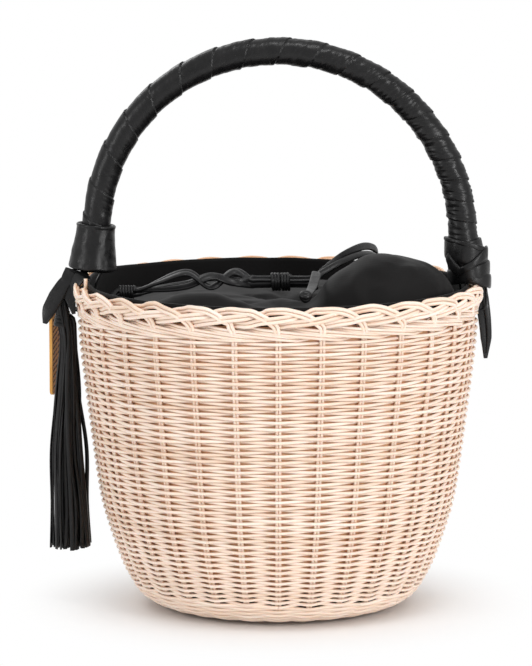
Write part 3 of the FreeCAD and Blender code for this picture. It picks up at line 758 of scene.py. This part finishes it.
def handle_line(count):
    """Centre line of the handle from the left foot over to the right one, and the length up to each point."""
    turn = np.linspace(math.pi - SPLAY, SPLAY, count * 8)
    arc = np.stack([np.cos(turn), np.zeros(len(turn)), np.sin(turn)], 1) * HANDLE_RADIUS
    arc[:, 2] += HANDLE_CENTRE
    drop = arc[0][2] - LEG_END
    leg = arc[0] + np.outer(np.linspace(1, 0, 60, endpoint=False), [-drop * math.tan(SPLAY), 0, -drop])
    right = leg[::-1] * np.array([-1, 1, 1])
    fine = np.vstack([leg, arc, right])
    length = run_along(fine)
    want = np.linspace(0, length[-1], count)
    return np.stack([np.interp(want, length, fine[:, i]) for i in range(3)], 1), want


def make_handle_wrap():
    """Leather strip wound round the handle, each turn lapping over the one above it."""
    count, sides = 900, 72
    line, length = handle_line(count)
    forward = along(line)
    outward = unit(np.cross(forward, [0, 1, 0]))
    inwards = ((line - [0, 0, HANDLE_CENTRE]) * outward).sum(1) < 0
    outward = np.where(inwards[:, None], -outward, outward)
    share = length / length[-1]
    # turns lie 24 mm apart, and closer down the right leg
    pitch = 24 - 9.5 * np.clip((share - 0.55) / 0.35, 0, 1)
    turns = np.concatenate([[0], np.cumsum(np.diff(length) / pitch[1:])])
    v = full_turn(sides)
    wander = ripple(np.stack([length, np.zeros(count), np.zeros(count)], 1), 0.03, 2.0)
    phase = turns[:, None] + v / (2 * math.pi) + 0.10 * wander[:, None]
    step = phase % 1.0
    lap = 0.85 * (step - 0.5)
    groove = -0.5 * np.exp(-step * pitch[:, None] / 0.8)
    rough = 0.35 + 0.65 * np.clip((share - 0.35) / 0.4, 0, 1)
    crease = np.zeros((count, sides))
    for j, (c, s) in enumerate(zip(np.cos(v), np.sin(v))):
        turn_at = phase[:, j] * 2.2
        broad = np.stack([turn_at * 2.0, c * 0.9 + length * 0.012, np.full(count, s * 0.9)], 1)
        fine = np.stack([turn_at * 5.0, np.full(count, c * 1.4), s * 1.4 + length * 0.02], 1)
        crease[:, j] = ripple(broad, 1) + 0.6 * ripple(fine, 1)
    # the leather swells and shifts to the right towards both feet
    foot = np.clip((abs(share - 0.5) - 0.2) / 0.25, 0, 1)[:, None]
    shift = np.where(share < 0.5, 1.36, RIGHT_SHIFT)[:, None]
    line = line + foot * shift * [1, 0, 0]
    radius = TUBE + 0.5 * foot + lap + groove + 0.62 * rough[:, None] * crease
    spoke = np.cos(v)[:, None] * outward[:, None] + np.sin(v)[:, None] * [0, -1, 0]
    strands = Strands()
    strands.add_grid(line[:, None] + radius[..., None] * spoke)
    strands.build("handle_leather", LEATHER, "handle", "leather", "handle_wrap")


def sleeve(name, side, profile, inner, wrinkle, seed, node):
    """Hollow leather sleeve leaning with the handle's leg; profile is (radius, height over the pivot)."""
    outside = smooth_path(profile, 60)
    loop = np.vstack([outside, smooth_path(inner, 16)])
    v = full_turn(96)
    grid = np.zeros((len(loop), len(v), 3))
    for i, (r, z) in enumerate(loop):
        ring = round_points(3, v, z * 0.16)
        bulge = ripple(ring, 0.55, seed) + 0.4 * ripple(ring, 1.6, seed + 9)
        grid[i] = round_points(r + wrinkle * bulge * (1 if i < len(outside) else 0.4), v, z)
    lean = SPLAY * -side
    x = grid[..., 0] * math.cos(lean) + grid[..., 2] * math.sin(lean)
    z = grid[..., 2] * math.cos(lean) - grid[..., 0] * math.sin(lean)
    x += side * PIVOT_X + (LEFT_SHIFT if side < 0 else RIGHT_SHIFT)
    strands = Strands()
    strands.add_grid(np.stack([x, grid[..., 1], z + PIVOT_HEIGHT], -1), wrap_rows=True)
    strands.build(name, LEATHER, "handle foot", "leather", node)


def make_cuffs():
    """Cuff over the left foot, and the hidden body of the knot over the right one."""
    outer = [
        (11.8, 27.6), (12.8, 28.4), (13.4, 27.2), (13.1, 25.6), (13.6, 21), (14.5, 14), (15.6, 6.5),
        (16.5, 0.5), (16.8, -1.6), (16.0, -2.8), (14.8, -2.2),
    ]
    inner = [(13.9, -3.6), (13.6, 4), (11.4, 12), (10.6, 20), (11.0, 26.6)]
    sleeve("left_cuff_leather", -1, outer, inner, 0.55, 1.0, "left_cuff")
    belly = [(11.4, 17.5), (12.0, 17.2), (12.5, 14), (12.8, 8), (12.6, 1), (12.2, -6), (11.4, -8.0)]
    inner = [(10.8, -7.0), (11.2, 2), (11.0, 8), (10.9, 13), (11.0, 17)]
    sleeve("right_knot_leather", 1, belly, inner, 0.35, 7.0, "right_knot")


def leg_point(turn, height, radius):
    """Point round the handle's right leg; turn is 0 outwards and 90 degrees towards the front."""
    x = radius * math.cos(math.radians(turn))
    y = -radius * math.sin(math.radians(turn))
    return (
        PIVOT_X + x * math.cos(SPLAY) - height * math.sin(SPLAY),
        y,
        PIVOT_HEIGHT + height * math.cos(SPLAY) + x * math.sin(SPLAY),
    )


def leg_strap(strands, route, width, thick, closed=False):
    """Creased leather strap on a route of (turn, height, radius) round the right leg."""
    count = 110
    path = smooth_path([leg_point(*spot) for spot in route], count, closed)
    path[:, 0] += RIGHT_SHIFT
    out = radial(path - [PIVOT_X + RIGHT_SHIFT, 0, 0])
    widths = spread(width, count)
    lift = 0.35 * ripple(path, 0.22, rng.uniform(0, 50))
    half = widths / 2 * (1 + 0.05 * ripple(path, 0.15, rng.uniform(0, 50)))
    strands.sweep(path + out * lift[:, None], out, thick / 2, half, sides=24, closed=closed, power=0.6)


def spread(values, count):
    """One value for a whole strap, or a few along it, as one value a point."""
    values = np.atleast_1d(values)
    return np.interp(np.linspace(0, 1, count), np.linspace(0, 1, len(values)), values)


def make_knot_straps():
    """Straps of the knot: (route round the leg, width or widths, thickness, if it closes on itself)."""
    slanting_band = [
        (180, 13.5, 12.6), (135, 12.5, 13.4), (90, 9.5, 14.4), (45, 4.5, 14.8), (0, 1.5, 14),
        (-45, 4, 13.8), (-90, 8, 13.4), (-135, 11.5, 12.8),
    ]
    lower_band = [
        (180, -7.5, 12.8), (135, -6.5, 13.6), (90, -5.5, 14.8), (45, -4, 15.6), (0, -3.5, 14.9),
        (-45, -3.5, 14.4), (-90, -5.5, 13.8), (-135, -7, 13),
    ]
    tuck = [
        (5, 7.5, 14.6), (30, 7.5, 16), (58, 4.5, 16.4), (88, 0, 16), (110, -2, 15.4), (128, 1, 15),
        (140, 5, 14.4), (150, 8.5, 13.6),
    ]
    rolled_edge = [
        (-20, 7, 14), (20, 9, 15), (60, 13.2, 15), (100, 17, 14), (140, 19.2, 13), (170, 20, 12.4),
    ]
    hem = [(-40, -10, 13.8), (0, -13, 15), (40, -10.6, 15.4), (85, -8.4, 14.6), (130, -8, 13.4)]
    strands = Strands()
    for route, width, thick, closed in (
        (slanting_band, 15.0, 2.4, True),
        (lower_band, 10.5, 2.6, True),
        (tuck, (9, 8, 5.5, 4.5, 5, 6.5, 7, 6), 2.6, False),
        (rolled_edge, (3, 4.5, 4, 3.6, 3.2, 2.6), 2.8, False),
        (hem, (6, 10, 9, 6, 4), 2.4, False),
    ):
        leg_strap(strands, route, width, thick, closed)
    strands.build("right_knot_straps", LEATHER, "handle foot", "leather", "right_knot")


# ---- other leather


def coil(strands, centre, radius, wire, turns, pitch, squash=1.0):
    """Cord wound round the X axis."""
    per_turn = 26
    turn = np.arange(int(turns * per_turn)) / per_turn
    a = 2 * math.pi * turn
    out = np.stack([0 * a, radius * np.cos(a), radius * squash * np.sin(a)], 1)
    points = centre + out
    points[:, 0] += (turn - turns / 2) * pitch
    strands.sweep(points, unit(out), wire, wire * 1.15)


def make_cords():
    """Leather cords of the drawstring, gathered at the left and led through the slider."""
    keeper = middle_mm("lace_keeper") + [0, 0, 1.2]
    slider = middle_mm("lace_slider") + [0, 0, 2.4]
    across, height = slider[1:]
    strands = Strands()
    # (across, up) of each of the six cords in the coils; the first two run on as loops
    lanes = [(-1.3, 1.5), (1.3, 1.5), (-1.3, -1.5), (1.3, -1.5), (0.0, 2.6), (0.0, -2.6)]
    for lane, (dy, dz) in enumerate(lanes):
        fan = (lane - 2.5) / 2.5
        bow = math.cos(lane * 2.1)
        points = [
            keeper + [-9 - 3 * abs(fan), -4 * fan, -3.5],
            keeper + [-5, dy * 0.8, dz * 0.8],
            keeper + [6, dy * 0.8, dz * 0.8],
            keeper + [20, 3 + 5 * fan, 3 + 3.2 * bow],
            (-62, across - 3 + 9 * fan, height + 1.0 + 6.0 * bow),
            (-46, across - 3 + 3 * fan, height + 1.5 - 4.8 * bow),
            (-30, across - 2 - 6 * fan, height + 2.6 + 4.4 * bow),
            slider + [-20, dy * 1.1, dz * 1.1],
            slider + [-15, dy, dz],
            slider + [20, dy, dz],
        ]
        if lane < 2:
            points += [
                (31, across + 4 + 2 * dy, height + 5 + dz),
                (45, across + 14 + 3 * dy, height + 13 + 3 * lane),
                (60, across + 34 + 5 * dy, height + 16 + 3.5 * lane),
                (69, across + 56 + 5 * dy, height + 11 + 2 * lane),
                (66, across + 80 + 3 * dy, height - 3),
            ]
        else:
            points.append((26, across + 2 * dy, height - 2 + 1.4 * dz))
        path = smooth_path(points, 170)
        clear = np.minimum(abs(path[:, 0] - keeper[0]), abs(path[:, 0] - slider[0]))
        wide = 1.7 + 1.0 * np.clip(clear / 12 - 1.5, 0, 1)
        twist = np.linspace(0, rng.normal(0, 1.2), 170)
        strands.sweep(path, (0, -0.3, 1), 1.2, wide, sides=12, power=0.75, twist=twist)
    strands.build("drawcords", CORD_LEATHER, "bag", "leather", "drawcord_tails", "drawcord_loops")
    make_coils(keeper, slider)


def make_coils(keeper, slider):
    """Coil that gathers the cords at the left, and the double coil that slides along them."""
    strands = Strands()
    coil(strands, keeper, 3.9, 0.85, 5.5, 1.9)
    strands.build("cord_keeper_coil", CORD_LEATHER, "bag", "leather", "lace_keeper")

    strands = Strands()
    for shift in (-3.3, 3.3):
        coil(strands, slider + [shift, 0, 0], 4.2, 0.95, 3.2, 2.0, 1.3)
    strands.build("sliding_coil", CORD_LEATHER, "slider", "leather", "lace_slider")


def make_pull():
    """Flat strip folded over the cords, ending in a small knot."""
    low, high = box_mm("pull_strip")
    x, y, z = middle_mm("pull_strip")
    knot = middle_mm("pull_knot") + [-8, 0, 1.5]
    strands = Strands()
    path = smooth_path([
        (x - 1, high[1] + 3, high[2] - 5), (x, high[1] + 1, high[2] - 0.5), (x, high[1] - 6, high[2] + 0.6),
        (x - 3, y, z - 0.8), (x - 7, low[1] + 6, low[2] + 0.6), (x - 8, low[1], low[2]), knot,
    ], 60)
    strands.sweep(path, (0, 0.1, 1), 1.0, 3.3, sides=16, power=0.8, twist=np.linspace(-0.3, 0.25, 60))
    strands.build("pull_strip_leather", CORD_LEATHER, "pull", "leather", "pull_strip")

    strands = Strands()
    a = full_turn(40)
    for tilt in (0.0, 1.1, 2.2):
        right, front, up = 3.0 * np.cos(a), 3.0 * np.sin(a) * math.cos(tilt), 3.0 * np.sin(a) * math.sin(tilt)
        ring = np.stack([right, front, up + 0.4 * np.cos(2 * a)], 1)
        strands.sweep(knot + ring, unit(ring), 1.4, 2.0, sides=10, closed=True)
    strands.build("pull_knot_leather", CORD_LEATHER, "pull", "leather", "pull_knot")


def strap(strands, points, up, thick, width, sides, twist=0.0):
    """Flat leather strap with soft edges; width and twist may vary along it."""
    path = smooth_path(points, 60)
    half = spread(width, len(path)) / 2
    strands.sweep(path, up, thick / 2, half, sides=sides, power=0.55, twist=spread(twist, len(path)))


def make_ties():
    """Leather strips that hold each handle foot round the rim."""
    for side, name in ((-1, "left"), (1, "right")):
        strands = Strands()
        for y, tilt in ((-3.4, -1.5), (3.2, 1.8)):
            low = y + tilt
            corners = [
                (120.5, y * 0.6, 236.5), (128.7, y * 0.3, 238.6), (137, y * 0.6, 236.5), (141.4, y, 231),
                (143, low, 222), (143.2, low, 211), (140.6, low, 205.6), (133.6, low, 205),
                (126.6, y, 206), (125.4, y, 213), (125.2, y, 223), (121.6, y, 231),
            ]
            path = smooth_path(np.array(corners) * [side, 1, 1], 120, True)
            up = unit(path - [side * 132, 0, 221])
            up[:, 1] = 0
            strands.sweep(path, up, 0.75, 3.5, sides=14, closed=True, power=0.55)
        if side < 0:
            add_left_leaves(strands)
        strands.build(f"{name}_tie_leather", LEATHER, "bag", "leather", f"{name}_rim_tie")


def add_left_leaves(strands):
    """Loose ends of the left tie: two leaves that hang down the outside of the rim."""
    front = [
        (-139, -6.5, 233), (-141.8, -10, 226), (-142.4, -12, 218), (-141.4, -13.4, 210), (-140, -14.2, 203.5),
    ]
    strap(strands, front, (-0.15, -1, 0.1), 1.5, [15, 15, 11, 6.0, 2.5], 20, [0.15, 0.0, -0.1])
    inner = [(-130, -11, 230), (-135.5, -13.5, 229), (-139.6, -13.5, 222.5), (-141.2, -12.0, 214)]
    strap(strands, inner, (-0.5, -1, 0.8), 1.6, [9, 10, 8, 4], 18)


def make_flap():
    """Broad folded leaf of leather that falls outwards over the tassel."""
    strands = Strands()
    path = [(-141, -7, 232), (-147.8, -10, 223), (-153.8, -12.5, 213), (-158.0, -14, 205), (-160.0, -14, 197)]
    strap(strands, path, (-0.5, -1, 0.25), 1.8, [6, 9.5, 11, 9.5, 3], 22, [0.0, -0.1, -0.15])
    edge = [
        (-138.6, -8, 231), (-143.6, -10.5, 222), (-149.2, -13, 212), (-154, -14.8, 204), (-158.6, -15, 197.6),
    ]
    strap(strands, edge, (-0.5, -1, 0.25), 1.5, [1.6, 2.2, 2.2, 1.8, 1.2], 12)
    strands.build("left_flap_leather", LEATHER, "flap", "leather", "left_flap")


def make_tail():
    """Pointed end of the knot's strap, with a lengthwise fold."""
    strands = Strands()
    path = [
        (138.4, -5, 227), (140.2, -5.2, 214), (142.2, -5.2, 200), (143.4, -4.6, 186), (143.2, -3.6, 171.5),
    ]
    strap(strands, path, (0.2, -1, 0), 2.0, [8, 9.5, 9.0, 8.0, 2.6], 22, [0.1, 0.0, -0.2])
    fold = [
        (141.2, -6.3, 226), (142.6, -6.6, 213), (144.4, -6.6, 200), (145.2, -5.8, 187), (143.8, -4.6, 175),
    ]
    strap(strands, fold, (0.5, -1, 0), 1.7, [4, 4.5, 3.6, 3.0, 1.4], 14, [0.3, 0.2, 0.1])
    strands.build("right_tail_leather", LEATHER, "tail", "leather", "right_tail")


def make_tassel():
    """Many narrow leather strips that spread out of a bound head."""
    bottom = box_mm("tassel_fringe")[0][2]
    middle = middle_mm("tassel_fringe")[0]
    head_bottom, head_top = [corner[2] for corner in box_mm("tassel_head")]
    count = 64
    golden_angle = 2.39996
    strands = Strands()
    for k in range(count):
        reach = math.sqrt((k + 0.5) / count)
        angle = k * golden_angle
        aim = np.array([math.cos(angle), math.sin(angle)])
        top, end = 4.6 * reach * aim, 14.2 * reach * aim
        bend = rng.normal(0, 0.9, (3, 2))
        tip = bottom + abs(rng.normal(0, 1.3))
        # strips on the outside of the left go on up over the head
        passes_head = reach > 0.72 and top[0] < 1.5
        rise = 213.5 + rng.uniform(-1.5, 1.5) if passes_head else head_top - 5
        # (shift to the right, place round the middle, height)
        route = [
            (-0.5, top * (1.15, 1.2), rise),
            (2.2, top * (1.3, 1.35), head_bottom + 3),
            (3.6, top + (end - top) * (0.12, 0.2) + bend[0] * (0.4, 0), 182),
            (3.0, top + (end - top) * 0.42 + bend[0], 150),
            (2.4, top + (end - top) * 0.72 + bend[1], 108),
            (3.2, end * 0.94 + bend[2], 70),
            (4.2, end, tip),
        ]
        points = [(middle + shift + spot[0], spot[1], height) for shift, spot, height in route]
        face = angle + rng.normal(0, 0.5)
        path = smooth_path(points, 44)
        twist = np.linspace(0, rng.normal(0, 0.5), 44)
        strands.sweep(path, (math.cos(face), math.sin(face), 0), 0.5, 1.5, power=0.5, twist=twist)
    strands.build("tassel_strips", STRIP_LEATHER, "tassel", "leather", "tassel_fringe", "tassel_core")
    make_tassel_head(middle, head_bottom, head_top)


def make_tassel_head(middle, bottom, top):
    """Four turns of strip bound round the head of the tassel, over a filled core."""
    strands = Strands()
    axis = np.array([middle, 0, 0])
    for turn in range(4):
        a = full_turn(48)
        z = bottom + 1.2 + turn * 2.5
        path = axis + round_points(5.6 - 0.45 * turn, a, z + 0.35 * np.sin(a + turn))
        strands.sweep(path, unit(path - [middle, 0, z]), 0.8, 1.4, sides=10, closed=True, power=0.6)
    profile = [(0.1, bottom - 0.5), (5.2, bottom - 0.4), (5.1, bottom + 4), (3.4, top - 1), (0.1, top - 0.2)]
    core = [axis + round_points(r, full_turn(32), z) for r, z in smooth_path(profile, 30)]
    strands.add_grid(np.stack(core))
    strands.build("tassel_binding", STRIP_LEATHER, "tassel", "leather", "tassel_head")


def make_tag():
    """Tan tag: a plate with rounded corners and bevelled edges, and dashes on both faces."""
    low, high = box_mm("tag_plate")
    half = np.array([12.4, (high[2] - low[2]) / 2])
    half_thick = 1.1
    corner = 2.6
    bevel = 0.25
    turn = math.radians(18)
    # across the tag, up it, and out of its face
    axes = np.array([
        (math.sin(turn), math.cos(turn), 0),
        (0, 0, 1),
        (math.cos(turn), -math.sin(turn), 0),
    ])
    outline = []
    for side_x, side_z, start in ((1, 1, 0), (-1, 1, 90), (-1, -1, 180), (1, -1, 270)):
        a = np.radians(start + 15 * np.arange(7))
        centre = (half - corner) * (side_x, side_z)
        outline.extend(centre + corner * np.stack([np.cos(a), np.sin(a)], 1))
    outline = np.array(outline)
    # (size of the outline, depth) from one face to the other
    near_edge = [(0.90, half_thick), (0.985, half_thick), (1.0, half_thick - bevel)]
    layers = [(s, -depth) for s, depth in near_edge] + [(s, depth) for s, depth in near_edge[::-1]]
    grid = []
    for size, depth in [(0.0, -half_thick), *layers, (0.0, half_thick)]:
        edge = np.sign(outline) * np.maximum(np.abs(outline) - half * (1 - size), 0.02)
        edge = outline * size if size < 0.5 else edge
        grid.append(middle_mm("tag_plate") + np.insert(edge, 2, depth, 1) @ axes)
    strands = Strands()
    strands.add_grid(np.array(grid))
    plate = strands.build("tag_core", TAG_EDGE_HIGHLIGHT, "tag", "tag", "tag_plate", flat=True)
    plate.data.materials.append(TAG_FACE)
    for side in plate.data.polygons:
        if abs(side.normal.dot(Vector(axes[2]))) > 0.98:
            side.material_index = 1
    make_dashes(axes, half[1] - 4, half_thick + 0.05)


def make_dashes(axes, reach, depth):
    """Generic pattern for the tag: rows of short slanting dashes on both faces."""
    rows, columns = 15, 5
    strands = Strands()
    for face in (-1, 1):
        for row in range(rows):
            for column in range(columns):
                across = (column - (columns - 1) / 2) * 4.4
                up = (row - (rows - 1) / 2) * 3.9 - (2.0 if column % 2 else 0)
                if abs(up) > reach:
                    continue
                mid = middle_mm("tag_plate") + (across, up, face * depth) @ axes
                slant = (1.5, 0.9, 0) @ axes * face
                path = mid + np.outer(np.linspace(-1, 1, 5), slant)
                strands.sweep(path, axes[2], 0.22, 0.55)
    strands.build("tag_dashes", STRIP_LEATHER, "tag", "tag")


# ---- carried-over nodes


def dress_cad_nodes():
    """Materials for the CAD nodes that are shown as they are."""
    for material, names in (
        (CANE, ("handle_core",)),
        (FOAM, ("handle_padding",)),
        (BOARD, ("base_board",)),
        (LEATHER, ("left_handle_eye", "right_handle_eye")),
        (STRIP_LEATHER, ("tassel_ring", "tassel_loop", "tassel_eye", "tag_cord")),
    ):
        for name in names:
            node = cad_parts[name]
            node.data.materials.clear()
            node.data.materials.append(material)


# ---- stage


def whiten_far_floor(tree, shader):
    """To the camera the floor brightens to plain white away from the bag."""
    spot = add(tree, "ShaderNodeNewGeometry").outputs["Position"]
    length = add(tree, "ShaderNodeVectorMath", spot, operation="LENGTH").outputs["Value"]
    far = remap(tree, length, 0.08, 0.19, kind="SMOOTHSTEP")
    seen = add(tree, "ShaderNodeLightPath").outputs["Is Camera Ray"]
    both = add(tree, "ShaderNodeMath", far, seen, operation="MULTIPLY").outputs["Value"]
    white = add(tree, "ShaderNodeEmission", Strength=1.0).outputs["Emission"]
    blend = add(tree, "ShaderNodeMixShader", both, shader.outputs["BSDF"], white)
    tree.links.new(blend.outputs["Shader"], tree.nodes["Material Output"].inputs["Surface"])


def make_floor():
    """Large plain pale floor."""
    reach = 6.0
    corners = [(x * reach, y * reach, 0) for x, y in ((-1, -1), (1, -1), (1, 1), (-1, 1))]
    mesh = bpy.data.meshes.new("floor")
    mesh.from_pydata(corners, [], [(0, 1, 2, 3)])
    floor = bpy.data.objects.new("floor", mesh)
    bpy.context.scene.collection.objects.link(floor)
    material, tree, shader, _ = new_material("floor", 0.7)
    shader.inputs["Base Color"].default_value = (0.86, 0.86, 0.86, 1)
    whiten_far_floor(tree, shader)
    mesh.materials.append(material)


def make_world():
    """Even white surroundings: full white to the camera, a little dimmer as light."""
    world = bpy.data.worlds.new("studio")
    world.use_nodes = True
    tree = world.node_tree
    background = tree.nodes["Background"]
    background.inputs["Color"].default_value = (1, 1, 1, 1)
    seen = add(tree, "ShaderNodeLightPath").outputs["Is Camera Ray"]
    tree.links.new(remap(tree, seen, 0, 1, 0.74, 1.0), background.inputs["Strength"])
    bpy.context.scene.world = world


def aimed(name, data, spot, aim):
    """Puts a light or camera in place, pointing along aim."""
    item = bpy.data.objects.new(name, data)
    item.location = spot
    item.rotation_mode = "QUATERNION"
    item.rotation_quaternion = aim.to_track_quat("-Z", "Y")
    bpy.context.scene.collection.objects.link(item)
    return item


def make_lights():
    """Soft rectangular lamps round the bag: (name, place, width, height, power)."""
    for name, spot, width, tall, power in (
        ("key", (1.75, -1.9, 0.75), 0.32, 1.4, 26),
        ("fill", (-2.1, -1.3, 0.8), 0.4, 1.4, 12),
        ("top", (0.2, -0.7, 2.4), 0.9, 0.6, 14),
        ("rim", (-1.0, 1.7, 1.5), 0.9, 0.9, 7),
    ):
        light = bpy.data.lights.new(name, "AREA")
        light.shape = "RECTANGLE"
        light.size = width
        light.size_y = tall
        light.energy = power
        aimed(name, light, spot, Vector((0, 0, 0.18)) - Vector(spot))


def make_camera():
    """Front view, nearly level, through a long lens."""
    elevation = math.radians(8.2)
    distance = 2.9
    frame_height = 0.4595
    target = Vector((-0.0082, 0, 0.1884))
    data = bpy.data.cameras.new("camera")
    data.sensor_width = 36
    data.lens = data.sensor_width * distance / frame_height
    back = Vector((0, -math.cos(elevation), math.sin(elevation)))
    bpy.context.scene.camera = aimed("camera", data, target + back * distance, -back)


make_wall()
make_uprights()
make_wale()
make_base()
make_lining()
make_cover()
make_handle_wrap()
make_cuffs()
make_knot_straps()
make_cords()
make_pull()
make_ties()
make_flap()
make_tail()
make_tassel()
make_tag()
dress_cad_nodes()
make_floor()
make_world()
make_lights()
make_camera()
bpy.context.scene.view_settings.view_transform = "Standard"
